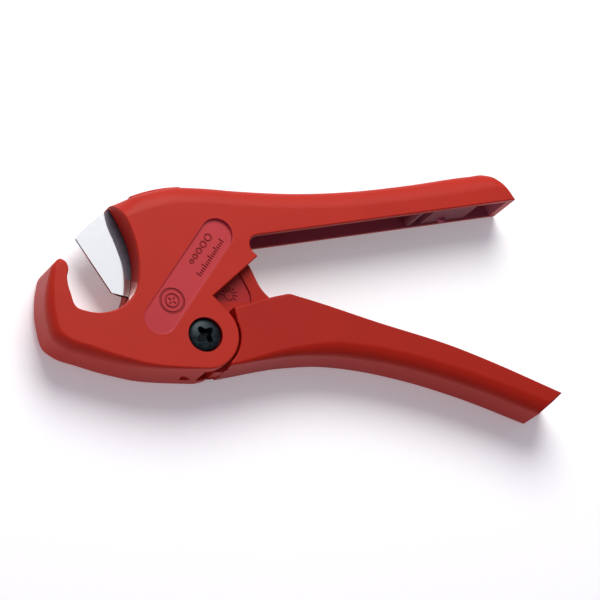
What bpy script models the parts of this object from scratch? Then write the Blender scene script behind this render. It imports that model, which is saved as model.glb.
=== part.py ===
"""One-hand PVC pipe cutter, lying on its side: +X towards the handles, +Y up the tool, +Z out of its near face.

Every outline is in millimetres from the pivot. The origin is the middle of the footprint, on the floor.
"""

import math

import bmesh
import bpy
from mathutils import Matrix, Vector

MM = 0.001

# Driving dimensions, mm
WIDTH = 22.0
MID = WIDTH / 2
GAP = 0.3

BLADE_THICKNESS = 1.8
BLADE_REACH = 56.8
SLOT_HALF_WIDTH = 1.4
SLOT_REACH = 57.1

CHEEK = 4.9
CHANNEL_WALL = 2.3
BOSS_RADIUS = 12.6
HANDLE_ARC_RADIUS = 13.4

TONGUE_HALF_WIDTH = 5.0
HUB_RADIUS = 9.0
BUSH_RADIUS = 4.0
SCREW_RADIUS = 2.5
HEAD_RADIUS = 5.9
HEAD_THICKNESS = 2.9
HEAD_DEPTH = 0.1
COUNTERBORE_RADIUS = 6.4
COUNTERBORE_DEPTH = 3.3
NUT_RADIUS = 4.6
NUT_THICKNESS = 2.7
NUT_POCKET_DEPTH = 3.4
WASHER_RADIUS = 8.6
WASHER_THICKNESS = 0.5
BLADE_PIN_RADIUS = 1.5
BLADE_PINS = {"blade_pin_front": (-2.5, 33.0), "blade_pin_rear": (3.0, 18.5)}

BRIDGE_INNER = 54.0
BRIDGE_OUTER = 57.8
BRIDGE_ANGLES = (97.2, 116.5)
BRIDGE_HALF_WIDTH = 2.3

# The cutting edge lies between these heights above the blade's middle plane, and each side is ground to one
EDGE_HEIGHTS = {-1: 0.42, 1: 0.62}
GRIND_ANGLES = {-1: 27.4, 1: 45.0}

CATCH_PIN = (102.0, 62.3)
CATCH_PIN_RADIUS = 1.4
CATCH_ARM = 16.3
CATCH_HALF_WIDTH = 8.2
CHANNEL_TILT = math.radians(13.9)
NUB_PLACE = (-6.8, -2.5)
NUB_RADIUS = 1.5
NUB_HEIGHTS = (4.5, 7.5)
KEEPER_PIN = (107.5, -2.1)
KEEPER_PIN_RADIUS = 1.3

PANEL_TOP = (3.9, 37.7)
PANEL_BOTTOM = (-16.6, 4.6)
PANEL_RADIUS = 5.95
PANEL_DEPTH = 1.2
PANEL_TILT = math.radians(1.1)

# Roundings of both rims, as a width across the face and a depth down the side
TOP_RIM = (7.0, 4.4)
HOOK_RIM = (3.4, 5.4)
GRIP_RIM = (5.2, 4.4)
EDGE = (0.7, 0.7)
FINE = (0.5, 0.5)

RED = (0.46, 0.035, 0.028, 1)
DARK_RED = (0.36, 0.028, 0.024, 1)
BLACK = (0.02, 0.03, 0.035, 1)
STEEL = (0.86, 0.87, 0.88, 1)


def polar(radius, degrees):
    """Point on a circle round the pivot."""
    angle = math.radians(degrees)
    return radius * math.cos(angle), radius * math.sin(angle)


def arc(radius, start, end, steps, rim=FINE, centre=(0, 0)):
    """Outline points along an arc; its two ends are corners."""
    points = []
    for i in range(steps + 1):
        x, y = polar(radius, start + (end - start) * i / steps)
        kind = "corner" if i in (0, steps) else "smooth"
        points.append((centre[0] + x, centre[1] + y, rim, kind))
    return points


# Outlines: x, y and the rim there, then "corner" where the line breaks. Where a rounding runs out through an end
# face, its width is a step in x and y. Outlines of square-edged shapes leave the rim out.
BODY_OUTLINE = [
    (-34.0, 46.5, ((4.6, -5.8), 8.8), "corner"),
    (-24.6, 50.5, TOP_RIM),
    (-11.7, 54.7, TOP_RIM),
    (-2.0, 55.6, TOP_RIM),
    (13.0, 56.0, TOP_RIM),
    (36.2, 57.6, TOP_RIM),
    (57.0, 60.7, TOP_RIM),
    (76.9, 65.0, TOP_RIM),
    (102.9, 71.7, TOP_RIM),
    (108.0, 72.7, ((0.6, -6.6), 4.2)),
    (112.3, 71.4, ((0.2, -4.3), 2.6)),
    (115.8, 68.3, ((-0.8, -0.9), 1.2)),
    (119.5, 63.2, FINE, "corner"),
    (19.5, 39.2, FINE, "corner"),
    (17.2, 38.0, FINE),
    (16.4, 35.7, FINE),
    (17.0, 33.6, FINE),
    (19.5, 31.2, FINE, "corner"),
    (2.8, 14.7, FINE, "corner"),
    *arc(BOSS_RADIUS, 47, -80, 10),
    (-9.7, -13.4, (1.0, 1.4)),
    (-19.0, -13.8, (1.5, 2.4)),
    (-29.5, -13.1, (2.4, 4.2)),
    (-43.0, -10.8, HOOK_RIM),
    (-50.4, -9.0, HOOK_RIM),
    (-55.0, -6.0, HOOK_RIM),
    (-57.4, 0.5, HOOK_RIM),
    (-58.3, 8.5, (3.2, 4.6)),
    (-57.6, 15.5, (2.4, 3.2)),
    (-55.9, 21.2, (1.7, 2.0)),
    (-53.6, 23.1, (1.4, 1.4)),
    (-51.5, 21.9, (1.1, 1.1)),
    (-50.7, 19.4, EDGE),
    (-51.1, 16.8, EDGE),
    (-49.6, 10.3, EDGE),
    (-47.5, 5.8, EDGE),
    (-43.5, 4.6, EDGE),
    (-36.5, 4.9, EDGE),
    (-30.2, 8.0, EDGE),
    (-25.9, 13.8, EDGE),
    (-24.9, 21.5, (0.6, 1.2)),
    (-26.3, 31.0, (0.7, 1.8)),
    (-29.4, 38.5, ((0.7, 0.3), 3.0)),
    (-32.3, 43.7, ((3.1, -3.9), 5.6)),
]

HANDLE_OUTLINE = [
    (10.7, 11.2, EDGE, "corner"),
    (28.8, 17.6, EDGE),
    (31.5, 18.3, EDGE),
    (34.4, 17.8, EDGE),
    (65.4, 10.9, EDGE),
    (96.0, 4.2, EDGE),
    (108.0, 0.6, EDGE),
    (136.7, -9.1, EDGE, "corner"),
    (132.9, -12.9, EDGE, "corner"),
    (128.6, -17.1, ((3.7, 4.7), 4.4), "corner"),
    (102.3, -9.5, GRIP_RIM),
    (80.0, -4.9, GRIP_RIM),
    (62.5, -2.9, GRIP_RIM),
    (48.0, -2.7, (4.8, 4.0)),
    (36.0, -4.1, (3.6, 3.0)),
    (9.9, -10.4, EDGE, "corner"),
    *arc(HANDLE_ARC_RADIUS, -43, 27, 8),
]

TONGUE_OUTLINE = [
    (20.0, 0.0, "corner"),
    (26.8, 16.3, "corner"),
    (22.6, 20.2),
    (17.9, 28.4),
    (12.5, 36.2),
    (2.5, 39.8),
    (-5.6, 37.0),
    (-8.8, 29.0),
    (-9.4, 12.0),
    *arc(HUB_RADIUS, 180, 300, 10),
    (6.0, -11.4, "corner"),
    (8.6, -10.9, "corner"),
    (12.5, -8.6, "corner"),
]

BLADE_OUTLINE = [
    *arc(BLADE_REACH, 143.6, 119, 8),
    (-4.5, 41.5, "corner"),
    (7.0, 36.0, "corner"),
    (6.5, 13.5, "corner"),
    (-5.0, 11.2, "corner"),
    (-32.2, 15.1, "corner"),
]

# The room that the tongue sweeps between the cheeks, open towards the lower handle
FORK_ROOM = [
    (1.6, -14.5, "corner"),
    *arc(HUB_RADIUS + 0.7, 279, 200, 8),
    (-14.2, 6.4, "corner"),
    (-18.9, 15.4, "corner"),
    (-22.2, 22.6),
    (-23.4, 28.6),
    (-21.6, 33.8),
    *arc(41.0, 117, 70, 8),
    (14.5, 46.0, "corner"),
    (34.0, 46.0, "corner"),
    (34.0, -14.5, "corner"),
]

SLOT_OUTLINE = [
    *arc(SLOT_REACH, 98.5, 172.8, 18),
    (-36.9, -3.0, "corner"),
    (-24.0, -6.0, "corner"),
    (0.0, -6.0, "corner"),
    (11.0, 30.0, "corner"),
    (11.0, 43.8, "corner"),
]

CHANNEL_ROOM = [
    (14.0, 38.2, "corner"),
    (14.0, 52.6, "corner"),
    (36.0, 54.6),
    (57.0, 57.6),
    (77.0, 61.8),
    (103.0, 68.0),
    (108.5, 68.8),
    (112.8, 67.3),
    (117.4, 61.6, "corner"),
    (117.4, 52.0, "corner"),
    (32.0, 33.0, "corner"),
    (20.0, 38.9, "corner"),
]

GRIP_ROOM = [
    (38.0, 24.0, "corner"),
    (38.0, 2.5, "corner"),
    (40.5, 0.2, "corner"),
    (62.5, -0.2),
    (80.0, -2.2),
    (102.3, -6.7),
    (124.0, -12.7),
    (127.6, -13.2, "corner"),
    (133.0, -7.8, "corner"),
    (133.0, 24.0, "corner"),
]


def split(outline):
    """Places, rims and kinds of an outline's points. The last entry of a point is its kind when it is a word."""
    places = [Vector(p[:2]) for p in outline]
    rims = [p[2] if len(p) > 2 and p[2] != "corner" else None for p in outline]
    kinds = [p[-1] if p[-1] in ("corner", "smooth") else "smooth" for p in outline]
    return places, rims, kinds


def direction(before, here, after):
    """Slope of the curve at a point, weighted by how near its neighbours are."""
    back = here - before
    ahead = after - here
    return (back / back.length * ahead.length + ahead / ahead.length * back.length) / (back.length + ahead.length)


def smooth_step(t):
    return t * t * (3 - 2 * t)


def trace(places, kinds, steps=4):
    """Points along a closed line: curved through its smooth points, straight between corners."""
    traced = []
    count = len(places)
    for i in range(count):
        j = (i + 1) % count
        here, there = places[i], places[j]
        traced.append(here)
        if kinds[i] == kinds[j] == "corner":
            continue
        span = there - here
        leave = span.normalized() if kinds[i] == "corner" else direction(places[i - 1], here, there)
        reach = span.normalized() if kinds[j] == "corner" else direction(here, there, places[(j + 1) % count])
        for k in range(1, steps):
            t = k / steps
            point = here.lerp(there, smooth_step(t))
            point += (leave * (t**3 - 2 * t**2 + t) + reach * (t**3 - t**2)) * span.length
            traced.append(point)
    return traced


def trace_depths(depths, kinds, steps):
    """Depth of the rim at each traced point, eased from one outline point to the next."""
    eased = []
    for i, depth in enumerate(depths):
        j = (i + 1) % len(depths)
        eased.append(depth)
        if kinds[i] == kinds[j] == "corner":
            continue
        eased.extend(depth + (depths[j] - depth) * smooth_step(k / steps) for k in range(1, steps))
    return eased


def inset(places, widths):
    """The clockwise line moved inwards by each point's width, or by the step given for it."""
    moved = []
    for i, here in enumerate(places):
        if isinstance(widths[i], tuple):
            moved.append(here + Vector(widths[i]))
            continue
        before = (here - places[i - 1]).normalized()
        after = (places[(i + 1) % len(places)] - here).normalized()
        halfway = (before + after).normalized()
        moved.append(here + Vector((halfway.y, -halfway.x)) * widths[i] / max(halfway.dot(before), 0.6))
    return moved


def middle():
    """Middle of the whole tool's footprint, from the pivot."""
    points = []
    for outline in (BODY_OUTLINE, HANDLE_OUTLINE):
        places, _, kinds = split(outline)
        points += trace(places, kinds)
    xs = [p[0] for p in points]
    ys = [p[1] for p in points]
    return (min(xs) + max(xs)) / 2, (min(ys) + max(ys)) / 2


def make_collection(name):
    collection = bpy.data.collections.new(name)
    bpy.context.scene.collection.children.link(collection)
    return collection


def make_empty(name, place, parent=None):
    empty = bpy.data.objects.new(name, None)
    PARTS.objects.link(empty)
    empty.location = [value * MM for value in place]
    empty.parent = parent
    return empty


def make_material(name, colour, roughness, metallic=0.0):
    material = bpy.data.materials.new(name)
    material.use_nodes = True
    shader = material.node_tree.nodes["Principled BSDF"]
    shader.inputs["Base Color"].default_value = colour
    shader.inputs["Roughness"].default_value = roughness
    shader.inputs["Metallic"].default_value = metallic
    return material


def add_object(name, mesh, axis, collection=None):
    """Links a mesh under the empty on its axis."""
    obj = bpy.data.objects.new(name, mesh)
    (collection or PARTS).objects.link(obj)
    obj.parent = axis
    if collection is CUTTERS:
        obj.hide_render = True
        obj.display_type = "WIRE"
    return obj


def add_slab(name, outline, bottom, top, axis, collection=None, steps=4):
    """Flat outline raised from bottom to top."""
    curve = bpy.data.curves.new(name + "_outline", "CURVE")
    curve.dimensions = "2D"
    curve.fill_mode = "BOTH"
    curve.extrude = (top - bottom) / 2 * MM
    spline = curve.splines.new("POLY")
    spline.use_cyclic_u = True
    places, _, kinds = split(outline)
    traced = trace(places, kinds, steps)
    spline.points.add(len(traced) - 1)
    for point, place in zip(spline.points, traced):
        point.co = (place.x * MM, place.y * MM, 0, 1)
    holder = bpy.data.objects.new(name + "_curve", curve)
    bpy.context.scene.collection.objects.link(holder)
    graph = bpy.context.evaluated_depsgraph_get()
    mesh = bpy.data.meshes.new_from_object(holder.evaluated_get(graph))
    mesh.name = name
    bpy.data.objects.remove(holder)
    bpy.data.curves.remove(curve)
    bm = bmesh.new()
    bm.from_mesh(mesh)
    bmesh.ops.remove_doubles(bm, verts=bm.verts, dist=0.00001)
    caps = [f for f in bm.faces if abs(f.normal.z) > 0.5]
    inner = {e for f in caps for e in f.edges if all(g in caps for g in e.link_faces)}
    bmesh.ops.dissolve_edges(bm, edges=list(inner), use_verts=False)
    bmesh.ops.recalc_face_normals(bm, faces=bm.faces)
    bmesh.ops.translate(bm, verts=bm.verts, vec=(0, 0, (bottom + top) / 2 * MM))
    bm.to_mesh(mesh)
    bm.free()
    return add_object(name, mesh, axis, collection)


def add_rounded_slab(name, outline, axis, steps, segments):
    """Full-width moulding whose rims are rounded by the amount given at each outline point."""
    places, rims, kinds = split(outline)
    outer = trace(places, kinds, steps)
    inner = trace(inset(places, [rim[0] for rim in rims]), kinds, steps)
    depths = trace_depths([rim[1] for rim in rims], kinds, steps)
    turns = [math.pi / 2 * k / segments for k in range(segments + 1)]
    levels = [(1, turn) for turn in turns] + [(-1, turn) for turn in reversed(turns)]
    bm = bmesh.new()
    rings = []
    for side, turn in levels:
        ring = []
        for near, far, depth in zip(inner, outer, depths):
            place = near.lerp(far, math.sin(turn))
            height = MID + side * (MID - depth * (1 - math.cos(turn)))
            ring.append(bm.verts.new((place.x * MM, place.y * MM, height * MM)))
        rings.append(ring)
    for upper, lower in zip(rings, rings[1:]):
        for i in range(len(outer)):
            bm.faces.new((upper[i - 1], upper[i], lower[i], lower[i - 1]))
    bm.faces.new(rings[0])
    bm.faces.new(rings[-1])
    bmesh.ops.recalc_face_normals(bm, faces=bm.faces)
    mesh = bpy.data.meshes.new(name)
    bm.to_mesh(mesh)
    bm.free()
    return add_object(name, mesh, axis)


def add_cylinder(name, radius, bottom, top, axis, place=(0, 0), collection=None, vertices=32):
    """Upright cylinder, or a prism when it has few sides."""
    mesh = bpy.data.meshes.new(name)
    bm = bmesh.new()
    shift = Matrix.Translation((place[0] * MM, place[1] * MM, (bottom + top) / 2 * MM))
    bmesh.ops.create_cone(bm, cap_ends=True, segments=vertices, radius1=radius * MM, radius2=radius * MM,
                          depth=(top - bottom) * MM, matrix=shift)
    bm.to_mesh(mesh)
    bm.free()
    return add_object(name, mesh, axis, collection)


def add_block(name, size, matrix, axis, collection=None):
    """Box of a size in mm, placed by a matrix in mm."""
    mesh = bpy.data.meshes.new(name)
    bm = bmesh.new()
    bmesh.ops.create_cube(bm, size=1.0, matrix=matrix @ Matrix.Diagonal((*size, 1)))
    bmesh.ops.scale(bm, vec=(MM, MM, MM), verts=bm.verts)
    bm.to_mesh(mesh)
    bm.free()
    return add_object(name, mesh, axis, collection)


def combine(obj, tool, operation="DIFFERENCE"):
    boolean = obj.modifiers.new(tool.name, "BOOLEAN")
    boolean.object = tool
    boolean.operation = operation
    boolean.solver = "EXACT"


def drill(obj, name, radius, bottom, top, place=(0, 0), vertices=32, axis=None):
    """Cuts a round or many-sided hole."""
    combine(obj, add_cylinder(name, radius, bottom, top, axis or PIVOT, place, CUTTERS, vertices))


def chamfer(obj, width, segments=1):
    bevel = obj.modifiers.new("edges", "BEVEL")
    bevel.width = width * MM
    bevel.segments = segments
    bevel.limit_method = "ANGLE"
    bevel.angle_limit = math.radians(50)


def finish(obj, material, angle=32):
    obj.data.materials.clear()
    obj.data.materials.append(material)
    obj.data.shade_smooth()
    obj.data.set_sharp_from_angle(angle=math.radians(angle))


def make_panel_cutter():
    """Shallow round-ended recess on the near face, deepest at its upper end."""
    along = Vector(PANEL_TOP) - Vector(PANEL_BOTTOM)
    heading = math.degrees(math.atan2(along.y, along.x))
    outline = arc(PANEL_RADIUS, heading + 90, heading - 90, 12, centre=PANEL_TOP)
    outline += arc(PANEL_RADIUS, heading - 90, heading - 270, 12, centre=PANEL_BOTTOM)
    cutter = add_slab("panel_cutter", outline, WIDTH - PANEL_DEPTH, WIDTH + 3, PIVOT, CUTTERS, 1)
    hinge = Vector((*PANEL_TOP, WIDTH - PANEL_DEPTH)) * MM
    across = Vector((along.y, -along.x, 0))
    turn = Matrix.Rotation(-PANEL_TILT, 4, across)
    cutter.data.transform(Matrix.Translation(hinge) @ turn @ Matrix.Translation(-hinge))
    return cutter


def make_bridge():
    """Raised strap over the blade slot, just in front of the top of the head."""
    start, end = BRIDGE_ANGLES
    outline = arc(BRIDGE_OUTER, end, start, 8) + arc(BRIDGE_INNER, start, end, 8)
    low, high = MID - BRIDGE_HALF_WIDTH, MID + BRIDGE_HALF_WIDTH
    bridge = add_slab("bridge_block", outline, low, high, PIVOT, CUTTERS, 1)
    chamfer(bridge, 0.9, 2)
    return bridge


def make_pocket_cutter():
    """Shallow pocket in the underside of the head, narrower towards the near face. Drawn flat, then stood up."""
    outline = [(-5.1, 5.8, "corner"), (-5.75, 11.7, "corner"), (-3.85, 11.7, "corner"), (-0.3, 5.8, "corner")]
    cutter = add_slab("pocket_cutter", outline, 12.0, 16.0, PIVOT, CUTTERS, 1)
    cutter.data.transform(Matrix.Rotation(math.pi / 2, 4, "X"))
    return cutter


def make_body():
    body = add_rounded_slab("body", BODY_OUTLINE, PIVOT, 3, 2)
    combine(body, make_bridge(), "UNION")
    combine(body, add_slab("fork_cutter", FORK_ROOM, CHEEK, WIDTH - CHEEK, PIVOT, CUTTERS, 3))
    slot_low, slot_high = MID - SLOT_HALF_WIDTH, MID + SLOT_HALF_WIDTH
    combine(body, add_slab("slot_cutter", SLOT_OUTLINE, slot_low, slot_high, PIVOT, CUTTERS, 1))
    wall = CHANNEL_WALL
    combine(body, add_slab("channel_cutter", CHANNEL_ROOM, wall, WIDTH - wall, PIVOT, CUTTERS, 3))
    combine(body, make_panel_cutter())
    drill(body, "counterbore_cutter", COUNTERBORE_RADIUS, WIDTH - COUNTERBORE_DEPTH, WIDTH + 1, vertices=48)
    drill(body, "screw_hole_cutter", SCREW_RADIUS + GAP, -1, WIDTH + 1)
    drill(body, "nut_pocket_cutter", NUT_RADIUS + GAP, -1, NUT_POCKET_DEPTH, vertices=6)
    drill(body, "catch_hole_cutter", CATCH_PIN_RADIUS + GAP, -1, WIDTH - 1.2, CATCH_PIN, 20)
    combine(body, make_pocket_cutter())
    finish(body, MATERIALS["red"])


def make_lower_handle():
    handle = add_rounded_slab("lower_handle", HANDLE_OUTLINE, BLADE_AXIS, 3, 2)
    low, high = MID - TONGUE_HALF_WIDTH, MID + TONGUE_HALF_WIDTH
    combine(handle, add_slab("tongue_block", TONGUE_OUTLINE, low, high, BLADE_AXIS, CUTTERS, 3), "UNION")
    wall = CHANNEL_WALL
    combine(handle, add_slab("grip_cutter", GRIP_ROOM, wall, WIDTH - wall, BLADE_AXIS, CUTTERS, 3))
    slit = BLADE_THICKNESS / 2 + GAP
    slit_outline = [(-14, 10.8, "corner"), (7.0, 10.8, "corner"), (7.6, 36.6, "corner"),
                    (-3.8, 45.0, "corner"), (-14, 45.0, "corner")]
    combine(handle, add_slab("slit_cutter", slit_outline, MID - slit, MID + slit, BLADE_AXIS, CUTTERS, 1))
    drill(handle, "bush_hole_cutter", BUSH_RADIUS + GAP, -1, WIDTH + 1, axis=BLADE_AXIS)
    for name, place in BLADE_PINS.items():
        drill(handle, name + "_cutter", BLADE_PIN_RADIUS + GAP, low - 1, high + 1, place, 20, BLADE_AXIS)
    drill(handle, "keeper_hole_cutter", KEEPER_PIN_RADIUS + GAP, -1, WIDTH - 1.2, KEEPER_PIN, 20, BLADE_AXIS)
    recess_outline = [(-7.0, 14.0, "corner"), (19.1, 15.2, "corner"), (18.6, 18.7), (16.9, 22.0),
                      (13.0, 28.4), (8.0, 34.0), (0.0, 37.0, "corner"), (-7.0, 31.0, "corner")]
    combine(handle, add_slab("tongue_recess_cutter", recess_outline, high - 0.8, high + 1, BLADE_AXIS, CUTTERS, 3))
    finish(handle, MATERIALS["dark_red"])


def make_blade():
    """Flat blade ground to its straight cutting edge: a long slope on the far side, a short one on the near."""
    half = BLADE_THICKNESS / 2
    blade = add_slab("blade", BLADE_OUTLINE, MID - half, MID + half, BLADE_AXIS, steps=1)
    tip = Vector((*polar(BLADE_REACH, 143.6), MID))
    heel = Vector((*BLADE_OUTLINE[-1][:2], MID))
    along = (heel - tip).normalized()
    heading = Matrix.Rotation(math.atan2(along.y, along.x), 4, "Z")
    for side in (-1, 1):
        edge = Matrix.Translation((tip + heel) / 2 + Vector((0, 0, EDGE_HEIGHTS[side])))
        lean = Matrix.Rotation(side * math.radians(GRIND_ANGLES[side]), 4, "X")
        block = edge @ heading @ lean @ Matrix.Translation((0, 0, side * 3))
        combine(blade, add_block(f"grind_cutter_{side + 2}", (40, 12, 6), block, BLADE_AXIS, CUTTERS))
    for name, place in BLADE_PINS.items():
        drill(blade, name + "_hole", BLADE_PIN_RADIUS + GAP, 5, 17, place, 20, BLADE_AXIS)
    finish(blade, MATERIALS["steel"])


def make_blade_pins():
    for name, place in BLADE_PINS.items():
        pin = add_cylinder(name, BLADE_PIN_RADIUS, MID - 4, MID + 4, BLADE_AXIS, place, vertices=20)
        chamfer(pin, 0.3)
        finish(pin, MATERIALS["steel"])


def make_pivot_screw():
    """Pan head in the counterbore, with a cross recess set on the diagonals, and a plain shank."""
    top = WIDTH - HEAD_DEPTH
    screw = add_cylinder("pivot_screw", HEAD_RADIUS, top - HEAD_THICKNESS, top, PIVOT, vertices=40)
    chamfer(screw, 0.5, 2)
    shank = add_cylinder("shank_block", SCREW_RADIUS, 0.7, top - 1, PIVOT, collection=CUTTERS)
    combine(screw, shank, "UNION")
    for number, angle in enumerate((45, 135), 1):
        arm = Matrix.Translation((0, 0, top)) @ Matrix.Rotation(math.radians(angle), 4, "Z")
        combine(screw, add_block(f"cross_cutter_{number}", (5.6, 1.1, 3.0), arm, PIVOT, CUTTERS))
    finish(screw, MATERIALS["black"])


def make_ring(name, outer, inner, bottom, top, material, sides=32):
    """Ring or nut round the pivot."""
    ring = add_cylinder(name, outer, bottom, top, PIVOT, vertices=sides)
    drill(ring, name + "_hole", inner, bottom - 1, top + 1)
    finish(ring, MATERIALS[material])


def make_pivot_hardware():
    bore = SCREW_RADIUS + GAP
    make_ring("pivot_nut", NUT_RADIUS, bore, 0.4, 0.4 + NUT_THICKNESS, "steel", 6)
    make_ring("pivot_bush", BUSH_RADIUS, bore, CHEEK + GAP, WIDTH - CHEEK - GAP, "steel")
    low, high = MID - TONGUE_HALF_WIDTH, MID + TONGUE_HALF_WIDTH
    inner = BUSH_RADIUS + GAP
    make_ring("washer_far", WASHER_RADIUS, inner, low - GAP - WASHER_THICKNESS, low - GAP, "steel", 40)
    make_ring("washer_near", WASHER_RADIUS, inner, high + GAP, high + GAP + WASHER_THICKNESS, "steel", 40)


def make_lock_catch():
    """Small hook that swings out of the upper handle. It lies along the channel, its open side downwards."""
    outline = [
        (2.0, 3.2),
        (3.4, 1.4),
        (3.5, -2.7, "corner"),
        (-14.3, -2.7, "corner"),
        *arc(1.9, -35, 215, 8, centre=(-CATCH_ARM, 0)),
        (-18.3, -2.7, "corner"),
        (-20.0, -2.7, "corner"),
        (-20.7, -1.4),
        (-20.4, 1.4),
        (-18.4, 3.4),
        (-14.0, 3.9),
        (-6.0, 3.6),
    ]
    low, high = MID - CATCH_HALF_WIDTH, MID + CATCH_HALF_WIDTH
    catch = add_slab("lock_catch", outline, low, high, CATCH_AXIS, steps=3)
    nub = add_cylinder("nub_block", NUB_RADIUS, *NUB_HEIGHTS, CATCH_AXIS, NUB_PLACE, CUTTERS, 20)
    nub.rotation_euler.z = CHANNEL_TILT
    combine(catch, nub, "UNION")
    drill(catch, "catch_bore_cutter", CATCH_PIN_RADIUS + GAP, low - 1, high + 1, (0, 0), 20, CATCH_AXIS)
    catch.rotation_euler.z = CHANNEL_TILT
    finish(catch, MATERIALS["dark_red"])


def make_lock_pins():
    pin = add_cylinder("catch_pin", CATCH_PIN_RADIUS, 0.4, WIDTH - 1.6, CATCH_AXIS, vertices=20)
    finish(pin, MATERIALS["steel"])
    keeper = add_cylinder("keeper_pin", KEEPER_PIN_RADIUS, 0.4, WIDTH - 1.6, BLADE_AXIS, KEEPER_PIN, vertices=20)
    finish(keeper, MATERIALS["steel"])


for old in list(bpy.data.objects):
    bpy.data.objects.remove(old)
PARTS = make_collection("pvc_pipe_cutter")
CUTTERS = make_collection("cutters")
MATERIALS = {
    "red": make_material("red_nylon", RED, 0.42),
    "dark_red": make_material("dark_red_nylon", DARK_RED, 0.45),
    "black": make_material("black_steel", BLACK, 0.35, 0.6),
    "steel": make_material("polished_steel", STEEL, 0.12, 1.0),
}
CENTRE = middle()
PIVOT = make_empty("pivot", (-CENTRE[0], -CENTRE[1], 0))
BLADE_AXIS = make_empty("blade_axis", (0, 0, 0), PIVOT)
CATCH_AXIS = make_empty("catch_axis", (*CATCH_PIN, 0), PIVOT)
make_body()
make_lower_handle()
make_blade()
make_blade_pins()
make_pivot_screw()
make_pivot_hardware()
make_lock_catch()
make_lock_pins()
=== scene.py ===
"""Looks of a one-hand plastic pipe cutter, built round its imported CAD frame.

Lengths are in mm from the pivot: +X towards the handles, +Y up the tool, +Z out of its near face.
"""

import math

import bmesh
import bpy
from mathutils import Matrix, Vector


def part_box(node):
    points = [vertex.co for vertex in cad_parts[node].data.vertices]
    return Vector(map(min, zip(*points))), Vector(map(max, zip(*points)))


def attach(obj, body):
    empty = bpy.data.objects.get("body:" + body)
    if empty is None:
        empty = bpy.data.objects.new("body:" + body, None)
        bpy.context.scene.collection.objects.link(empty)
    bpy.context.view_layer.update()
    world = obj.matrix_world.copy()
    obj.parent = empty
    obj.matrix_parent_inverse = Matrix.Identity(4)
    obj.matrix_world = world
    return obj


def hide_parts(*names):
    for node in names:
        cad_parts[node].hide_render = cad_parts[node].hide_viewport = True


MM = 0.001

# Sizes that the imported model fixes
WIDTH = 22.0
MID = WIDTH / 2
CHEEK = 4.9
CHANNEL_WALL = 2.3
BOSS_RADIUS = 12.6
HANDLE_ARC_RADIUS = 13.4
TONGUE_HALF_WIDTH = 5.0
HUB_RADIUS = 9.0
BUSH_HOLE = 4.3
SCREW_HOLE = 2.8
NUT_POCKET_RADIUS = 4.9
NUT_POCKET_DEPTH = 3.4
COUNTERBORE_RADIUS = 6.4
COUNTERBORE_DEPTH = 3.3
SLOT_HALF_WIDTH = 1.4
SLOT_REACH = 57.1
BRIDGE_REACH = 57.8
BRIDGE_INNER_REACH = 54.0
BRIDGE_ANGLES = (97.2, 116.5)
BRIDGE_HALF_WIDTH = 2.3
BLADE_HALF = 0.9
BLADE_REACH = 56.8
BLADE_TIP_ANGLE = 143.6
BLADE_PINS = ((-2.5, 33.0), (3.0, 18.5))
BLADE_PIN_HOLE = 1.8
BLADE_SLIT_HALF_WIDTH = BLADE_HALF + 0.3
CATCH_PIN_HOLE = 1.7
KEEPER_PIN_HOLE = 1.6
PIN_COVER = 1.2
CATCH_ARM = 16.3
CATCH_HALF_WIDTH = 8.2
CHANNEL_TILT = math.radians(13.9)
NUB_PLACE = (-6.8, -2.5)
RECESS_DEPTH = 0.8
PANEL_TOP = (3.9, 37.7)
PANEL_BOTTOM = (-16.6, 4.6)
PANEL_RADIUS = 5.95
PANEL_DEPTH = 1.2
PANEL_TILT = math.radians(1.1)

# Finer sizes, for the looks alone
PANEL_MOUTH = 0.25
# Above this depth the panel's wall doesn't follow the slope of its floor
PANEL_LIP = 0.3
MARK_DEPTH = 0.3
MARK_DRAFT = 0.06
# Depth by which the blade's faces sink where the painted shade is laid
BLADE_PAINTED_SHADE_DEPTH = 0.04
# Each ground side of the blade: its side, the edge's height from the middle plane, the slope's width
BLADE_GRINDS = ((-1, -0.42, 2.55), (1, 0.62, 0.28))
# How far a cutter runs past the faces that it opens, and a mark's cutter past the panel's floor
PAST = 1.0
MARK_CLEAR = 0.15

# Outlines: x, y, then the rounding of both rims there as a width and a depth, then "corner" where the line
# breaks. Where a rounding runs out through an end face, its width is a step in x and y instead.
TOP_RIM = (7.0, 4.4)
HOOK_RIM = (3.4, 5.4)
GRIP_RIM = (5.2, 4.4)
EDGE = (0.7, 0.7)
FINE = (0.5, 0.5)
HAIR = (0.08, 0.08)
SHARP = (0, 0)
# A rounding leaves the flat face at this angle, not tangent to it
RIM_BREAK = math.radians(12)


def polar(radius, degrees, centre=(0, 0)):
    angle = math.radians(degrees)
    return centre[0] + radius * math.cos(angle), centre[1] + radius * math.sin(angle)


def arc(radius, start, end, steps, rim=FINE, centre=(0, 0)):
    """Outline points along an arc; its two ends are corners."""
    points = []
    for i in range(steps + 1):
        kind = "corner" if i in (0, steps) else "smooth"
        points.append((*polar(radius, start + (end - start) * i / steps, centre), rim, kind))
    return points


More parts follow.
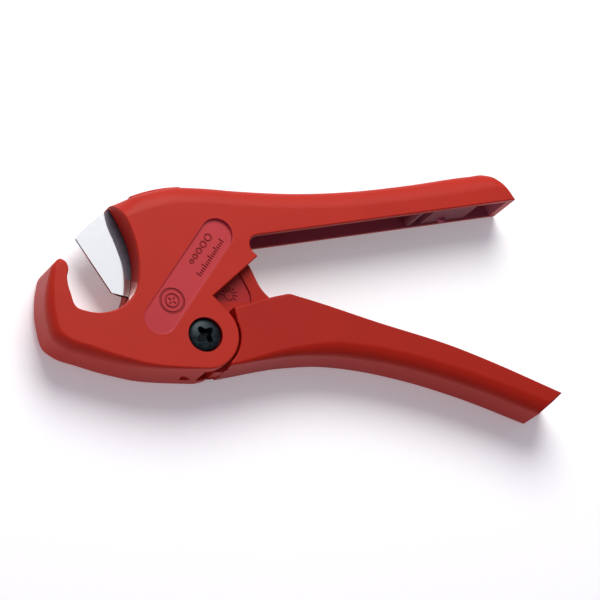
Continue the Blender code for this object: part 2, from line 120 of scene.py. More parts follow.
# Hook, head and upper handle
BODY_OUTLINE = [
    (-34.0, 46.5, ((4.6, -5.8), 8.8), "corner"),
    (-24.6, 50.5, TOP_RIM),
    (-11.7, 54.7, TOP_RIM),
    (-2.0, 55.6, TOP_RIM),
    (13.0, 56.0, TOP_RIM),
    (36.2, 57.6, TOP_RIM),
    (57.0, 60.7, TOP_RIM),
    (76.9, 65.0, TOP_RIM),
    (102.9, 71.5, TOP_RIM),
    (108.0, 72.5, ((0.6, -6.6), 4.2)),
    (112.3, 71.3, ((0.2, -4.3), 2.6)),
    (115.8, 68.3, ((-0.8, -0.9), 1.2)),
    (119.5, 63.2, FINE, "corner"),
    (19.5, 39.2, FINE, "corner"),
    (17.2, 38.0, FINE),
    (16.4, 35.7, FINE),
    (17.0, 33.6, FINE),
    (19.5, 31.2, FINE, "corner"),
    (2.8, 14.7, FINE, "corner"),
    *arc(BOSS_RADIUS, 47, -80, 10),
    (-9.7, -13.4, (1.0, 1.4)),
    (-19.0, -13.8, (1.5, 2.4)),
    (-29.5, -13.1, (2.4, 4.2)),
    (-43.0, -10.8, HOOK_RIM),
    (-50.4, -9.0, HOOK_RIM),
    (-55.0, -6.0, HOOK_RIM),
    (-57.4, 0.5, HOOK_RIM),
    (-58.3, 8.5, (3.2, 4.6)),
    (-57.6, 15.5, (2.4, 3.2)),
    (-55.9, 21.2, (1.7, 2.0)),
    (-53.6, 23.1, (1.4, 1.4)),
    (-51.5, 21.9, (1.1, 1.1)),
    (-50.7, 19.4, EDGE),
    (-51.1, 16.8, EDGE),
    (-49.6, 10.3, EDGE),
    (-47.5, 5.8, EDGE),
    (-43.5, 4.6, EDGE),
    (-36.5, 4.9, EDGE),
    (-30.2, 8.0, EDGE),
    (-25.9, 13.8, EDGE),
    (-24.9, 21.5, (0.6, 1.2)),
    (-26.3, 31.0, (0.7, 1.8)),
    (-29.4, 38.5, ((0.7, 0.3), 3.0)),
    (-32.3, 43.7, ((3.1, -3.9), 5.6)),
]

# Lower handle behind the pivot; its front end is hollowed to clear the boss
HANDLE_OUTLINE = [
    (10.7, 11.2, EDGE, "corner"),
    (28.8, 17.6, EDGE),
    (31.5, 18.3, EDGE),
    (34.4, 17.8, EDGE),
    (65.4, 10.9, EDGE),
    (96.0, 4.2, EDGE),
    (108.0, 0.6, EDGE),
    (136.7, -9.1, EDGE, "corner"),
    (132.9, -12.9, EDGE, "corner"),
    (128.6, -17.1, ((3.7, 4.7), 4.4), "corner"),
    (102.3, -9.5, GRIP_RIM),
    (80.0, -4.9, GRIP_RIM),
    (62.5, -2.9, GRIP_RIM),
    (48.0, -2.7, (4.8, 4.0)),
    (36.0, -4.1, (3.6, 3.0)),
    (9.9, -10.4, EDGE, "corner"),
    *arc(HANDLE_ARC_RADIUS, -43, 27, 8),
]

# The part of the lower handle between the cheeks
TONGUE_OUTLINE = [
    (20.0, 0.0, FINE, "corner"),
    (26.8, 16.3, FINE, "corner"),
    (22.6, 20.2, FINE),
    (17.9, 28.4, FINE),
    (12.5, 36.2, FINE),
    (2.5, 39.8, FINE),
    (-5.6, 37.0, FINE),
    (-8.5, 29.0, FINE, "corner"),
    (-9.0, 12.0, FINE, "corner"),
    *arc(HUB_RADIUS, 180, 300, 10),
    (6.0, -11.4, FINE, "corner"),
    (8.6, -10.9, FINE, "corner"),
    (12.5, -8.6, FINE, "corner"),
]

# The blade, from its tip round its outer end and back along its edge
BLADE_OUTLINE = [
    *arc(BLADE_REACH, BLADE_TIP_ANGLE, 119, 12, HAIR),
    (-4.5, 41.5, HAIR, "corner"),
    (7.0, 36.0, HAIR, "corner"),
    (6.5, 13.5, HAIR, "corner"),
    (-5.0, 11.2, HAIR, "corner"),
    (-32.2, 15.1, HAIR, "corner"),
]

# Painted shade on the blade above its heel, beside the near cheek's throat wall
BLADE_PAINTED_SHADE = [
    (-38.0, 54.0, SHARP, "corner"),
    (-35.5, 45.0, SHARP, "corner"),
    (-34.1, 39.8, SHARP),
    (-31.5, 34.1, SHARP),
    (-29.4, 28.9, SHARP),
    (-27.9, 24.8, SHARP),
    (-27.2, 20.6, SHARP, "corner"),
    (-5.0, 20.6, SHARP, "corner"),
    (-5.0, 54.0, SHARP, "corner"),
]

# Room between the cheeks, in which the tongue swings
FORK_ROOM = [
    (1.6, -14.5, SHARP, "corner"),
    *arc(HUB_RADIUS + 0.7, 279, 200, 8, SHARP),
    (-14.2, 6.4, SHARP, "corner"),
    (-18.9, 15.4, SHARP, "corner"),
    (-22.2, 22.6, SHARP),
    (-23.4, 28.6, SHARP),
    (-21.6, 33.8, SHARP),
    *arc(41.0, 117, 70, 8, SHARP),
    (14.5, 46.0, SHARP, "corner"),
    (34.0, 46.0, SHARP, "corner"),
    (34.0, -14.5, SHARP, "corner"),
]

# Slot that the blade swings in
SLOT_OUTLINE = [
    *arc(SLOT_REACH, 98.5, 172.8, 30, SHARP),
    (-36.9, -3.0, SHARP, "corner"),
    (-24.0, -6.0, SHARP, "corner"),
    (0.0, -6.0, SHARP, "corner"),
    (11.0, 30.0, SHARP, "corner"),
    (11.0, 43.8, SHARP, "corner"),
]

# Hollow of the upper handle
CHANNEL_ROOM = [
    (14.0, 38.2, SHARP, "corner"),
    (14.0, 52.6, SHARP, "corner"),
    (36.0, 54.6, SHARP),
    (57.0, 57.6, SHARP),
    (77.0, 61.8, SHARP),
    (103.0, 68.0, SHARP),
    (108.5, 68.8, SHARP),
    (112.8, 67.3, SHARP),
    (117.4, 61.6, SHARP, "corner"),
    (117.4, 52.0, SHARP, "corner"),
    (32.0, 33.0, SHARP, "corner"),
    (20.0, 38.9, SHARP, "corner"),
]

# Hollow of the lower handle
GRIP_ROOM = [
    (38.0, 24.0, SHARP, "corner"),
    (38.0, 2.5, SHARP, "corner"),
    (40.5, 0.2, SHARP, "corner"),
    (62.5, -0.2, SHARP),
    (80.0, -2.2, SHARP),
    (102.3, -6.7, SHARP),
    (124.0, -12.7, SHARP),
    (127.6, -13.2, SHARP, "corner"),
    (133.0, -7.8, SHARP, "corner"),
    (133.0, 24.0, SHARP, "corner"),
]

# Sunk face of the tongue
TONGUE_RECESS = [
    (-7.0, 31.0, SHARP, "corner"),
    (0.0, 37.0, SHARP, "corner"),
    (8.0, 34.0, SHARP),
    (13.0, 28.4, SHARP),
    (16.9, 22.0, SHARP),
    (18.6, 18.7, SHARP),
    (19.1, 15.2, SHARP, "corner"),
    (-7.0, 14.0, SHARP, "corner"),
]

# Slit of the tongue that holds the blade
BLADE_SLIT = [
    (-14.0, 45.0, SHARP, "corner"),
    (-3.8, 45.0, SHARP, "corner"),
    (7.6, 36.6, SHARP, "corner"),
    (7.0, 10.8, SHARP, "corner"),
    (-14.0, 10.8, SHARP, "corner"),
]

# The lock catch, with its pin at the origin and its hook to the left
CATCH_OUTLINE = [
    (2.0, 3.2, FINE),
    (3.4, 1.4, FINE),
    (3.5, -2.7, FINE, "corner"),
    (-14.3, -2.7, FINE, "corner"),
    *arc(1.9, -35, 215, 12, (0.3, 0.3), (-CATCH_ARM, 0)),
    (-18.3, -2.7, FINE, "corner"),
    (-20.0, -2.7, FINE, "corner"),
    (-20.7, -1.4, FINE),
    (-20.4, 1.4, FINE),
    (-18.4, 3.4, FINE),
    (-14.0, 3.9, FINE),
    (-6.0, 3.6, FINE),
]


# Curves and lofts


def leaning(before, here, after):
    """Slope of the curve at a point, weighted by how near its neighbours are."""
    back = here - before
    ahead = after - here
    weighted = back / back.length * ahead.length + ahead / ahead.length * back.length
    return weighted / (back.length + ahead.length)


def smooth_step(t):
    return t * t * (3 - 2 * t)


def trace(places, kinds, steps):
    """Points along a closed line: curved through its smooth points, straight between corners."""
    traced = []
    count = len(places)
    for i in range(count):
        j = (i + 1) % count
        here, there = places[i], places[j]
        traced.append(here)
        if kinds[i] == kinds[j] == "corner":
            continue
        span = there - here
        leave = span.normalized() if kinds[i] == "corner" else leaning(places[i - 1], here, there)
        reach = span.normalized() if kinds[j] == "corner" else leaning(here, there, places[(j + 1) % count])
        for k in range(1, steps):
            t = k / steps
            point = here.lerp(there, smooth_step(t))
            point += (leave * (t**3 - 2 * t**2 + t) + reach * (t**3 - t**2)) * span.length
            traced.append(point)
    return traced


def rim_depths(depths, kinds, steps):
    """The rounding's depth at each traced point, eased from one outline point to the next."""
    eased = []
    for i, depth in enumerate(depths):
        j = (i + 1) % len(depths)
        following = depths[j]
        eased.append(depth)
        if kinds[i] == kinds[j] == "corner":
            continue
        eased.extend(depth + (following - depth) * smooth_step(k / steps) for k in range(1, steps))
    return eased


def inset(places, widths):
    """The clockwise line moved inwards by each point's width, or by the step given for it."""
    moved = []
    for i, here in enumerate(places):
        if isinstance(widths[i], tuple):
            moved.append(here + Vector(widths[i]))
            continue
        before = (here - places[i - 1]).normalized()
        after = (places[(i + 1) % len(places)] - here).normalized()
        halfway = (before + after).normalized()
        sharpness = max(halfway.dot(before), 0.6)
        moved.append(here + Vector((halfway.y, -halfway.x)) * widths[i] / sharpness)
    return moved


def outline_parts(outline):
    """An outline's places, rims and kinds of point, as three lists."""
    places = [Vector(p[:2]) for p in outline]
    rims = [p[2] for p in outline]
    kinds = [p[3] if len(p) > 3 else "smooth" for p in outline]
    return places, rims, kinds


def add_shell(bm, rings, looped=False):
    """Closed skin through rings of (x, y, z) points; a looped one joins its last ring to its first."""
    rows = [[bm.verts.new((ORIGIN + Vector(point)) * MM) for point in ring] for ring in rings]
    following = rows[1:] + rows[:1] if looped else rows[1:]
    for upper, lower in zip(rows, following):
        for i in range(len(upper)):
            bm.faces.new((upper[i - 1], upper[i], lower[i], lower[i - 1]))
    if not looped:
        bm.faces.new(rows[0])
        bm.faces.new(rows[-1])


def loft(name, *shells, material, looped=False):
    """One object of closed skins, in the frame's place for the pivot."""
    bm = bmesh.new()
    for rings in shells:
        add_shell(bm, rings, looped)
    bmesh.ops.recalc_face_normals(bm, faces=bm.faces)
    mesh = bpy.data.meshes.new(name)
    bm.to_mesh(mesh)
    bm.free()
    mesh.materials.append(material)
    obj = bpy.data.objects.new(name, mesh)
    bpy.context.scene.collection.objects.link(obj)
    return obj


def slab(name, outline, bottom, top, material, steps=8, segments=6):
    """Flat piece whose two rims are rounded by the amount given at each outline point."""
    places, rims, kinds = outline_parts(outline)
    outer = trace(places, kinds, steps)
    if all(rim == SHARP for rim in rims):
        return loft(name, [[(*p, z) for p in outer] for z in (top, bottom)], material=material)
    inner = trace(inset(places, [rim[0] for rim in rims]), kinds, steps)
    depths = rim_depths([rim[1] for rim in rims], kinds, steps)
    turns = [RIM_BREAK + (math.pi / 2 - RIM_BREAK) * k / segments for k in range(segments + 1)]
    rings = []
    for face, side, order in ((top, -1, turns), (bottom, 1, turns[::-1])):
        for turn in order:
            share = (math.sin(turn) - math.sin(RIM_BREAK)) / (1 - math.sin(RIM_BREAK))
            rise = side * (math.cos(RIM_BREAK) - math.cos(turn)) / math.cos(RIM_BREAK)
            ring = [(*i.lerp(o, share), face + rise * d) for o, i, d in zip(outer, inner, depths)]
            rings.append(ring)
    return loft(name, rings, material=material)


def cylinder(name, radius, bottom, top, material, place=(0, 0), vertices=64):
    rings = []
    for z in (top, bottom):
        rings.append([(*polar(radius, 360 * i / vertices, place), z) for i in range(vertices)])
    return loft(name, rings, material=material)


def turned(name, profile, material, place=(0, 0), vertices=72):
    """Solid turned about a vertical axis from (radius, height) steps, top to bottom."""
    rings = []
    for radius, z in profile:
        rings.append([(*polar(radius, -360 * i / vertices, place), z) for i in range(vertices)])
    return loft(name, rings, material=material)


def combine(obj, tool, operation="DIFFERENCE"):
    """Joins or cuts with a tool that isn't needed afterwards. A cut face takes the tool's material."""
    modifier = obj.modifiers.new(tool.name, "BOOLEAN")
    modifier.object = tool
    modifier.operation = operation
    modifier.solver = "EXACT"
    modifier.material_mode = "TRANSFER"
    graph = bpy.context.evaluated_depsgraph_get()
    mesh = bpy.data.meshes.new_from_object(obj.evaluated_get(graph), depsgraph=graph)
    obj.modifiers.clear()
    old = obj.data
    obj.data = mesh
    bpy.data.meshes.remove(old)
    bpy.data.objects.remove(tool)


def drill(obj, radius, bottom, top, material, place=(0, 0), vertices=48):
    """A round hole, or a hexagonal one with six vertices."""
    combine(obj, cylinder("drill", radius, bottom, top, material, place, vertices))


def finish(obj, body, slot_name, *nodes, angle=30):
    """Smooth shading, then the body that the piece rides on and the nodes that it replaces. The slot's name
    is not used.
    """
    obj.data.shade_smooth()
    obj.data.set_sharp_from_angle(angle=math.radians(angle))
    normals = obj.modifiers.new("even_normals", "WEIGHTED_NORMAL")
    normals.keep_sharp = True
    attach(obj, body)
    if nodes:
        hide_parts(*nodes)


# Materials


def new_material(name):
    """An empty material, with its nodes, its links and its main shader."""
    material = bpy.data.materials.new(name)
    material.use_nodes = True
    nodes = material.node_tree.nodes
    return material, nodes, material.node_tree.links, nodes["Principled BSDF"]


def add_noise(nodes, links, scale, detail=3.0, stretch=(1, 1, 1)):
    """Noise fixed to the object, with its scale in turns per metre."""
    where = nodes.new("ShaderNodeTexCoord")
    mapping = nodes.new("ShaderNodeMapping")
    mapping.inputs["Scale"].default_value = stretch
    noise = nodes.new("ShaderNodeTexNoise")
    noise.inputs["Scale"].default_value = scale
    noise.inputs["Detail"].default_value = detail
    links.new(where.outputs["Object"], mapping.inputs["Vector"])
    links.new(mapping.outputs["Vector"], noise.inputs["Vector"])
    return noise.outputs["Fac"]


def ramp(nodes, links, factor, low, high, low_value, high_value):
    """Maps a factor's range onto another."""
    node = nodes.new("ShaderNodeMapRange")
    node.inputs["From Min"].default_value = low
    node.inputs["From Max"].default_value = high
    node.inputs["To Min"].default_value = low_value
    node.inputs["To Max"].default_value = high_value
    links.new(factor, node.inputs["Value"])
    return node.outputs["Result"]


def blend_colours(nodes, links, factor, low, high):
    """One colour turning into another as the factor goes from 0 to 1."""
    node = nodes.new("ShaderNodeMix")
    node.data_type = "RGBA"
    node.inputs["A"].default_value = low
    node.inputs["B"].default_value = high
    links.new(factor, node.inputs["Factor"])
    return node.outputs["Result"]


def add_bump(nodes, links, height, strength, distance, shader):
    bump = nodes.new("ShaderNodeBump")
    bump.inputs["Strength"].default_value = strength
    bump.inputs["Distance"].default_value = distance
    links.new(height, bump.inputs["Height"])
    links.new(bump.outputs["Normal"], shader.inputs["Normal"])


def moulded_plastic(name, colour, roughness):
    """Satin nylon: fine spark-eroded grain and slight clouding of the dye."""
    material, nodes, links, shader = new_material(name)
    shade = (*[value * 0.95 for value in colour], 1)
    clouds = add_noise(nodes, links, 55, 2)
    tone = ramp(nodes, links, clouds, 0.35, 0.65, 0, 1)
    links.new(blend_colours(nodes, links, tone, shade, (*colour, 1)), shader.inputs["Base Color"])
    grain = add_noise(nodes, links, 2600, 2)
    matt = ramp(nodes, links, grain, 0.3, 0.7, roughness - 0.04, roughness + 0.05)
    links.new(matt, shader.inputs["Roughness"])
    add_bump(nodes, links, grain, 0.25, 0.00002, shader)
    shader.inputs["Specular IOR Level"].default_value = 0.14
    return material


def polished_steel(name, colour, roughness, grain):
    """Bright steel with fine grinding lines across it."""
    material, nodes, links, shader = new_material(name)
    lines = add_noise(nodes, links, 900, 3, grain)
    matt = ramp(nodes, links, lines, 0.3, 0.7, roughness, roughness + 0.05)
    links.new(matt, shader.inputs["Roughness"])
    dark = (*[value * 0.93 for value in colour[:3]], 1)
    links.new(blend_colours(nodes, links, lines, dark, colour), shader.inputs["Base Color"])
    shader.inputs["Metallic"].default_value = 1.0
    add_bump(nodes, links, lines, 0.05, 0.00001, shader)
    return material


def black_oxide_and_painted_shade(name, pale, shine, contrast=0.6):
    """Dark, a little uneven steel: blackened on the screw, painted shade on the blade and in the screw's
    recess. Shine is the strength of its clear reflection.
    """
    material, nodes, links, shader = new_material(name)
    dark = (*[value * (1 - contrast) for value in pale], 1)
    patches = add_noise(nodes, links, 700, 4)
    tone = ramp(nodes, links, patches, 0.3, 0.7, 0, 1)
    links.new(blend_colours(nodes, links, tone, dark, (*pale, 1)), shader.inputs["Base Color"])
    links.new(ramp(nodes, links, patches, 0.3, 0.7, 0.3, 0.46), shader.inputs["Roughness"])
    shader.inputs["Metallic"].default_value = 0.4
    shader.inputs["Specular IOR Level"].default_value = shine
    add_bump(nodes, links, patches, 0.15, 0.00003, shader)
    return material


def zinc_plate(name):
    """Plated steel with a faint bluish, mottled sheen."""
    material, nodes, links, shader = new_material(name)
    mottle = add_noise(nodes, links, 1500, 3)
    tint = blend_colours(nodes, links, mottle, (0.42, 0.44, 0.48, 1), (0.62, 0.62, 0.6, 1))
    links.new(tint, shader.inputs["Base Color"])
    links.new(ramp(nodes, links, mottle, 0.3, 0.7, 0.25, 0.42), shader.inputs["Roughness"])
    shader.inputs["Metallic"].default_value = 1.0
    return material


def floor_material():
    """White paper, lit a little from within so that the shadow stays soft."""
    material, nodes, links, shader = new_material("floor_paper")
    fibres = add_noise(nodes, links, 300, 4)
    tint = blend_colours(nodes, links, fibres, (0.91, 0.915, 0.93, 1), (0.94, 0.945, 0.955, 1))
    links.new(tint, shader.inputs["Base Color"])
    shader.inputs["Roughness"].default_value = 0.9
    shader.inputs["Emission Color"].default_value = (1, 1, 1, 1)
    shader.inputs["Emission Strength"].default_value = 0.22
    return material


# Pieces


def middle_of(node):
    """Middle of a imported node's box seen from above, in mm from the pivot."""
    low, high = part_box(node)
    middle = (low + high) / 2 / MM - ORIGIN
    return middle.x, middle.y


def panel_point(x, y, height):
    """A point at a height above the near face. Below the panel's lip it follows the slope of the floor."""
    if height >= -PANEL_LIP:
        return x, y, WIDTH + height
    along = (Vector(PANEL_TOP) - Vector(PANEL_BOTTOM)).normalized()
    down = (Vector(PANEL_TOP) - Vector((x, y))).dot(along)
    lift = max(down, -PANEL_RADIUS) * math.tan(PANEL_TILT)
    return x, y, WIDTH + min(height + lift, -PANEL_LIP)


def cut_panel(body):
    """Sunk panel with a softened mouth, deepest at its upper end."""
    along = Vector(PANEL_TOP) - Vector(PANEL_BOTTOM)
    heading = math.degrees(math.atan2(along.y, along.x))
    mouth = PANEL_MOUTH
    levels = [
        (0.35, -PANEL_DEPTH),
        (0.1, -PANEL_DEPTH + 0.1),
        (0.0, -PANEL_DEPTH + 0.35),
        (0.0, -mouth),
        (-0.08, -0.07),
        (-mouth, 0.0),
        (-mouth - 0.8, 3.0),
    ]
    rings = []
    for step_in, height in levels:
        radius = PANEL_RADIUS - step_in
        ring = [p[:2] for p in arc(radius, heading + 90, heading - 90, 32, centre=PANEL_TOP)]
        ring += [p[:2] for p in arc(radius, heading - 90, heading - 270, 32, centre=PANEL_BOTTOM)]
        rings.append([panel_point(x, y, height) for x, y in ring])
    # The panel's faces take a paler pink tone of painted sheen
    combine(body, loft("panel_cutter", rings[::-1], material=MATERIALS["panel"]))


def add_bridge(body):
    """Low rounded strap that closes the top of the blade's slot."""
    first, last = BRIDGE_ANGLES
    outline = arc(BRIDGE_REACH, last, first, 24, (1, 1)) + arc(BRIDGE_INNER_REACH, first, last, 24, (1, 1))
    low, high = MID - BRIDGE_HALF_WIDTH, MID + BRIDGE_HALF_WIDTH
    combine(body, slab("bridge_block", outline, low, high, MATERIALS["red"], 1, 4), "UNION")


def cut_underside(body):
    """Shallow trapezoid pocket in the underside of the head."""
    low_x, high_x = -2.7, -4.8
    rings = []
    for y, grow in ((-16, 0.3), (-12.0, -0.35)):
        wide, narrow = 2.4 + grow, 0.95 + grow
        low, high = 5.8 - grow, 11.7 + grow
        lower = [(low_x - wide, y, low), (low_x + wide, y, low)]
        upper = [(high_x + narrow, y, high), (high_x - narrow, y, high)]
        rings.append(lower + upper)
    combine(body, loft("pocket_cutter", rings, material=MATERIALS["red"]))


def on_panel(along, across, height):
    """Place on the panel's floor, measured from its lower centre towards its upper one."""
    start = Vector(PANEL_BOTTOM)
    axis = (Vector(PANEL_TOP) - start).normalized()
    x, y = start + axis * along + Vector((-axis.y, axis.x)) * across
    return panel_point(x, y, height - PANEL_DEPTH)


def ring_groove(along, across, radius, width, depth, place):
    """Looped skin of a round groove; place turns (along, across, height) into a point."""
    outer, inner = radius + width / 2, radius - width / 2
    section = (
        (outer + MARK_DRAFT, MARK_CLEAR),
        (outer - MARK_DRAFT, -depth),
        (inner + MARK_DRAFT, -depth),
        (inner - MARK_DRAFT, MARK_CLEAR),
    )
    count = 48 if radius > 2 else 28
    turns = [2 * math.pi * i / count for i in range(count)]
    return [[place(along + r * math.cos(t), across + r * math.sin(t), h) for t in turns] for r, h in section]


def bar_groove(start, end, width, depth, place):
    """Skin of a straight groove between two places on a face."""
    start, end = Vector(start), Vector(end)
    axis = (end - start).normalized()
    side = Vector((-axis.y, axis.x))
    rings = []
    for spread, height in ((MARK_DRAFT, MARK_CLEAR), (-MARK_DRAFT, -depth)):
        half = side * (width / 2 + spread)
        a, b = start - axis * spread, end + axis * spread
        rings.append([place(*corner, height) for corner in (a - half, a + half, b + half, b - half)])
    return rings


def cut_marks(body):
    """Plain marks sunk in the panel: a pipe's end with centre lines, five sizes of pipe and a short scale.
    Their grooves carry painted shade.
    """
    pipe_end = 8.0
    rings = []
    for radius, width in ((4.4, 0.95), (2.5, 0.7)):
        rings.append(ring_groove(pipe_end, 0.0, radius, width, MARK_DEPTH, on_panel))
    along = 24.2
    for i in range(5):
        radius = 0.65 + 0.15 * i
        rings.append(ring_groove(along + radius, 1.9, radius, 0.62, MARK_DEPTH, on_panel))
        along += 2 * radius + 0.95
    combine(body, loft("ring_grooves", *rings, material=MATERIALS["groove"], looped=True))
    scale_start, scale_foot = 22.4, -3.8
    bars = []
    for i in range(17):
        length = 2.2 if i % 4 == 0 else 1.3
        foot = (scale_start + i, scale_foot)
        bars.append(bar_groove(foot, (foot[0], scale_foot + length), 0.52, MARK_DEPTH, on_panel))
    centre = (pipe_end, 0)
    for turn in range(0, 360, 90):
        line = polar(0.5, turn, centre), polar(1.7, turn, centre)
        bars.append(bar_groove(*line, 0.55, MARK_DEPTH, on_panel))
    combine(body, loft("bar_grooves", *bars, material=MATERIALS["groove"]))


def make_body():
    """Hook, head and upper handle in one moulding."""
    body = slab("body_moulding", BODY_OUTLINE, 0, WIDTH, MATERIALS["red"], 8, 8)
    add_bridge(body)
    combine(body, slab("fork_cutter", FORK_ROOM, CHEEK, WIDTH - CHEEK, MATERIALS["red"]))
    low, high = MID - SLOT_HALF_WIDTH, MID + SLOT_HALF_WIDTH
    combine(body, slab("slot_cutter", SLOT_OUTLINE, low, high, MATERIALS["red"], 2))
    wall = CHANNEL_WALL
    # The channel's faces take the hollows' paler violet tone of painted sheen
    combine(body, slab("channel_cutter", CHANNEL_ROOM, wall, WIDTH - wall, MATERIALS["inner"]))
    cut_panel(body)
    seat = WIDTH - COUNTERBORE_DEPTH
    # The counterbore round the screw head takes the grooves' painted shade
    drill(body, COUNTERBORE_RADIUS, seat, WIDTH + PAST, MATERIALS["groove"], vertices=72)
    drill(body, SCREW_HOLE, -PAST, WIDTH + PAST, MATERIALS["red"])
    drill(body, NUT_POCKET_RADIUS, -PAST, NUT_POCKET_DEPTH, MATERIALS["red"], vertices=6)
    drill(body, CATCH_PIN_HOLE, -PAST, WIDTH - PIN_COVER, MATERIALS["red"], middle_of("catch_pin"), 32)
    cut_underside(body)
    cut_marks(body)
    finish(body, "head", "red_moulding", "body")


def cut_mould_mark(handle, floor):
    """Plain sunburst of a moulder's insert on the tongue, its grooves carrying painted shade."""
    def place(along, across, height):
        return along, across, floor + height

    centre = (10.8, 17.4)
    bars = []
    for turn in range(0, 360, 30):
        reach = 2.35 if 210 < turn < 330 else 3.2
        ray = polar(1.4, turn, centre), polar(reach, turn, centre)
        bars.append(bar_groove(*ray, 0.5, 0.35, place))
    combine(handle, loft("sunburst_grooves", *bars, material=MATERIALS["groove"]))


def make_lower_handle():
    """Lower handle, and the tongue that carries the blade between the cheeks."""
    red = MATERIALS["dark_red"]
    handle = slab("handle_moulding", HANDLE_OUTLINE, 0, WIDTH, red, 8, 8)
    low, high = MID - TONGUE_HALF_WIDTH, MID + TONGUE_HALF_WIDTH
    combine(handle, slab("tongue_block", TONGUE_OUTLINE, low, high, red, 8, 3), "UNION")
    wall = CHANNEL_WALL
    # The grip's hollow takes the same paler violet tone of painted sheen
    combine(handle, slab("grip_cutter", GRIP_ROOM, wall, WIDTH - wall, MATERIALS["inner"]))
    slit = BLADE_SLIT_HALF_WIDTH
    combine(handle, slab("slit_cutter", BLADE_SLIT, MID - slit, MID + slit, red))
    drill(handle, BUSH_HOLE, -PAST, WIDTH + PAST, red)
    for place in BLADE_PINS:
        drill(handle, BLADE_PIN_HOLE, low - PAST, high + PAST, red, place, 32)
    drill(handle, KEEPER_PIN_HOLE, -PAST, WIDTH - PIN_COVER, red, middle_of("keeper_pin"), 32)
    floor = high - RECESS_DEPTH
    # The tongue's sunk face takes painted shade
    combine(handle, slab("recess_cutter", TONGUE_RECESS, floor, high + PAST, MATERIALS["tongue_floor_painted_shade"]))
    cut_mould_mark(handle, floor)
    finish(handle, "blade_arm", "red_moulding", "lower_handle")


def paint_shade_on_sides(obj, material):
    """Gives the upright faces another material, which paints shade on them."""
    obj.data.materials.append(material)
    for face in obj.data.polygons:
        if abs(face.normal.z) < 0.4:
            face.material_index = len(obj.data.materials) - 1


def make_blade():
    """Polished blade, ground to its straight edge on both sides, with a dark grey patch of painted shade at
    its root and near black painted shade on its upright sides.
    """
    tip = Vector(polar(BLADE_REACH, BLADE_TIP_ANGLE))
    heel = Vector(BLADE_OUTLINE[-1][:2])
    low, high = MID - BLADE_HALF, MID + BLADE_HALF
    blade = slab("blade_steel", BLADE_OUTLINE, low, high, MATERIALS["blade"], 1, 2)
    along = (heel - tip).normalized()
    across = Vector((-along.y, along.x))
    for side, edge, width in BLADE_GRINDS:
        rings = []
        for reach in (-8, 8):
            start = (tip if reach < 0 else heel) + along * reach
            section = [(-4, edge), (0, edge), (width, BLADE_HALF + 0.02), (width, 6), (-4, 6)]
            rings.append([(*(start + across * away), MID + side * up) for away, up in section])
        combine(blade, loft("grind_cutter", rings, material=MATERIALS["blade"]))
    # Both faces sink a hair under the painted shade's outline, so that it takes its own material
    step = BLADE_HALF - BLADE_PAINTED_SHADE_DEPTH
    for low, high in ((MID + step, MID + 3), (MID - 3, MID - step)):
        combine(blade, slab("painted_shade_cutter", BLADE_PAINTED_SHADE, low, high, MATERIALS["blade_painted_shade"]))
    for place in BLADE_PINS:
        drill(blade, BLADE_PIN_HOLE, CHEEK, WIDTH - CHEEK, MATERIALS["blade"], place, 32)
    # Near black painted shade on the blade's upright sides
    paint_shade_on_sides(blade, MATERIALS["blade_side_painted_shade"])
    finish(blade, "blade_arm", "polished_blade", "blade", angle=8)


def make_screw():
    """Low domed head with a cross recess on the diagonals."""
    top = WIDTH - 0.1
    dome = [(0.4, 0.0), (2.2, 0.06), (3.6, 0.2), (4.6, 0.42), (5.3, 0.72), (5.7, 1.05), (5.88, 1.45)]
    rim = [(5.9, 2.7), (5.75, 2.9), (2.5, 2.9)]
    profile = [(radius, top - drop) for radius, drop in dome + rim]
    profile += [(2.5, 1.1), (2.1, 0.7)]
    screw = turned("screw_steel", profile, MATERIALS["black"])
    rings = []
    for share, z in ((1.12, top + 0.5), (1.05, top - 0.08), (0.96, top - 0.35), (0.6, top - 2.6)):
        ring = []
        for turn in range(0, 360, 3):
            lobe = abs(math.sin(math.radians(2 * turn))) ** 2.6
            ring.append((*polar(share * (2.1 + 1.55 * lobe), turn), z))
        rings.append(ring)
    # The cross recess takes painted shade, darker than the screw's own black
    combine(screw, loft("cross_cutter", rings, material=MATERIALS["recess"]))
    finish(screw, "head", "black_screw", "pivot_screw")


def make_catch():
    """Folding lock catch with a small thumb nub on its lower face. The catch carries painted shade and the
    nub painted light.
    """
    low, high = MID - CATCH_HALF_WIDTH, MID + CATCH_HALF_WIDTH
    # The catch takes painted shade for lying in the channel
    catch = slab("catch_moulding", CATCH_OUTLINE, low, high, MATERIALS["catch"], 6, 3)
    profile = [(1.0, 7.5), (1.35, 7.35), (1.5, 7.0), (1.5, 5.0), (1.35, 4.65), (1.0, 4.5)]
    # The nub takes painted light, paler than the rest of the catch
    combine(catch, turned("thumb_nub", profile, MATERIALS["nub"], NUB_PLACE, 32), "UNION")
    drill(catch, CATCH_PIN_HOLE, 0, WIDTH, MATERIALS["catch"], (0, 0), 32)
    shift = Matrix.Translation(Vector((*middle_of("catch_pin"), 0)) * MM)
    pivot = Matrix.Translation(Vector((ORIGIN.x, ORIGIN.y, 0)) * MM)
    catch.data.transform(pivot @ shift @ Matrix.Rotation(CHANNEL_TILT, 4, "Z") @ pivot.inverted())
    finish(catch, "catch", "red_moulding", "lock_catch")


def dress_cad_nodes():
    """Plated finish on the small hardware that stays as packed."""
    washers = ("washer_near", "washer_far")
    pins = ("blade_pin_front", "blade_pin_rear", "catch_pin", "keeper_pin")
    for name in ("pivot_nut", "pivot_bush", *washers, *pins):
        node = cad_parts[name]
        node.data.materials.clear()
        node.data.materials.append(MATERIALS["zinc"])


# Stage


def aim(obj, target):
    obj.rotation_euler = (Vector(target) - obj.location).to_track_quat("-Z", "Y").to_euler()


def add_light(name, place, size, power, colour, target=(0, 0, 0.01)):
    """Round soft light, aimed at the tool."""
    light = bpy.data.lights.new(name, "AREA")
    light.shape = "DISK"
    light.size = size
    light.energy = power
    light.color = colour
    obj = bpy.data.objects.new(name, light)
    bpy.context.scene.collection.objects.link(obj)
    obj.location = place
    aim(obj, target)


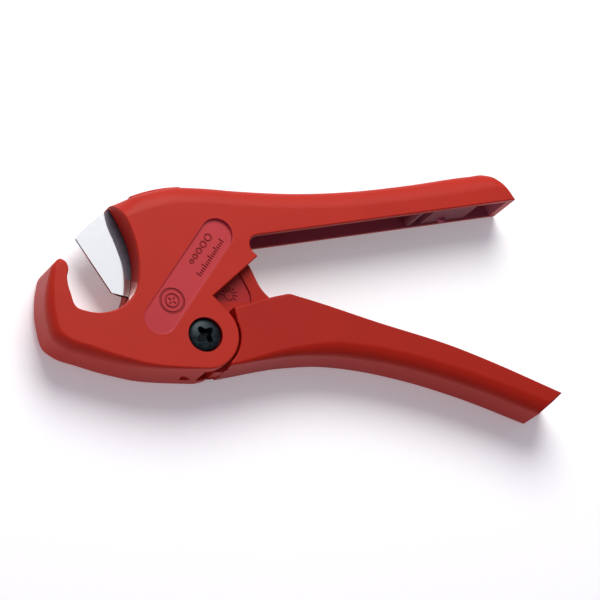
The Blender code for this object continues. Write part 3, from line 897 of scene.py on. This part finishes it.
def make_stage():
    """Pale floor, dim bluish surroundings and three soft lights."""
    bpy.ops.mesh.primitive_plane_add(size=8, location=(0, 0, 0))
    floor = bpy.context.object
    floor.name = "floor"
    floor.data.materials.append(floor_material())
    world = bpy.data.worlds.new("studio")
    bpy.context.scene.world = world
    world.use_nodes = True
    background = world.node_tree.nodes["Background"]
    background.inputs["Color"].default_value = (0.86, 0.82, 1.0, 1)
    background.inputs["Strength"].default_value = 0.22
    add_light("key", (-0.05, 0.5, 0.62), 0.6, 7.1, (1, 0.99, 0.97))
    add_light("blade_box", (0.40, 0.37, 1.17), 0.42, 0.47, (1, 1, 1))
    add_light("cool_fill", (-0.55, -0.95, 0.3), 0.6, 1.3, (0.78, 0.62, 1))


def make_camera():
    """Long lens, leaning 25 degrees from straight above towards the jaw."""
    target = Vector((0.0, -0.0081, 0.011))
    away = Vector((-0.345, -0.318, 1.0)).normalized()
    distance = 1.4468
    camera = bpy.data.cameras.new("camera")
    camera.lens = 240
    camera.sensor_width = 36
    camera.clip_end = 20
    obj = bpy.data.objects.new("camera", camera)
    bpy.context.scene.collection.objects.link(obj)
    right = Vector((0, 1, 0)).cross(away).normalized()
    up = away.cross(right)
    turn = Matrix((right, up, away)).transposed().to_4x4()
    obj.matrix_world = Matrix.Translation(target + away * distance) @ turn
    bpy.context.scene.camera = obj


bpy.context.scene.view_settings.view_transform = "Standard"
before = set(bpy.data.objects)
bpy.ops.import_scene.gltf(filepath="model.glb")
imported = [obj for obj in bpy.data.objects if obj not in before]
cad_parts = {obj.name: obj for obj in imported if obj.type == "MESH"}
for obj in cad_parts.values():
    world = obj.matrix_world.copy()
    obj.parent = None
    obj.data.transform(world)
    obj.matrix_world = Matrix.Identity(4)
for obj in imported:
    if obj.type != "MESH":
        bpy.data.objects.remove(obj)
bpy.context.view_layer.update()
# The pivot's place in the frame, in mm
low_corner, high_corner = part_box("pivot_screw")
ORIGIN = (low_corner + high_corner) / 2 / MM
ORIGIN.z = 0
MATERIALS = {
    "red": moulded_plastic("red_nylon", (0.45, 0.0215, 0.0105), 0.46),
    "dark_red": moulded_plastic("dark_red_nylon", (0.38, 0.0138, 0.0058), 0.46),
    # Panel: smoother nylon, and a paler pink tone that is painted sheen
    "panel": moulded_plastic("panel_painted_sheen_nylon", (0.47, 0.036, 0.043), 0.38),
    # Painted shade: violet red for the tongue's sunk face between the cheeks
    "tongue_floor_painted_shade": moulded_plastic("tongue_floor_painted_shade_nylon", (0.375, 0.018, 0.02), 0.46),
    # Painted shade: darker red in the sunk marks and in the counterbore round the screw head
    "groove": moulded_plastic("groove_painted_shade_nylon", (0.28, 0.015, 0.02), 0.5),
    # Hollows of the handles: rougher nylon, with a paler violet tone that is painted sheen for the light
    # reflected in their shade
    "inner": moulded_plastic("inner_painted_sheen_nylon", (0.40, 0.085, 0.115), 0.6),
    # Painted shade: dark violet red for the catch lying in the upper handle's channel
    "catch": moulded_plastic("catch_painted_shade_nylon", (0.22, 0.045, 0.06), 0.55),
    # Painted light: paler pink violet for the nub of the catch's moulding, where it pokes out of the channel
    "nub": moulded_plastic("nub_painted_light_nylon", (0.42, 0.08, 0.14), 0.5),
    "blade": polished_steel("blade_finish", (0.66, 0.672, 0.685, 1), 0.08, (1, 6, 1)),
    # Painted shade: dark grey for the blade beside the near cheek's throat
    "blade_painted_shade": black_oxide_and_painted_shade("blade_painted_shade_finish", (0.125, 0.12, 0.145), 0.3, 0.15),
    # Painted shade: near black for the blade's upright sides
    "blade_side_painted_shade": black_oxide_and_painted_shade("blade_side_painted_shade_finish", (0.02, 0.03, 0.036), 0.3),
    "black": black_oxide_and_painted_shade("screw_finish", (0.018, 0.028, 0.034), 0.2),
    # Painted shade: the cross recess darker than the screw's own black
    "recess": black_oxide_and_painted_shade("screw_recess_painted_shade", (0.006, 0.009, 0.011), 0.1),
    "zinc": zinc_plate("zinc_finish"),
}
make_camera()
make_stage()
make_body()
make_lower_handle()
make_blade()
make_screw()
make_catch()
dress_cad_nodes()
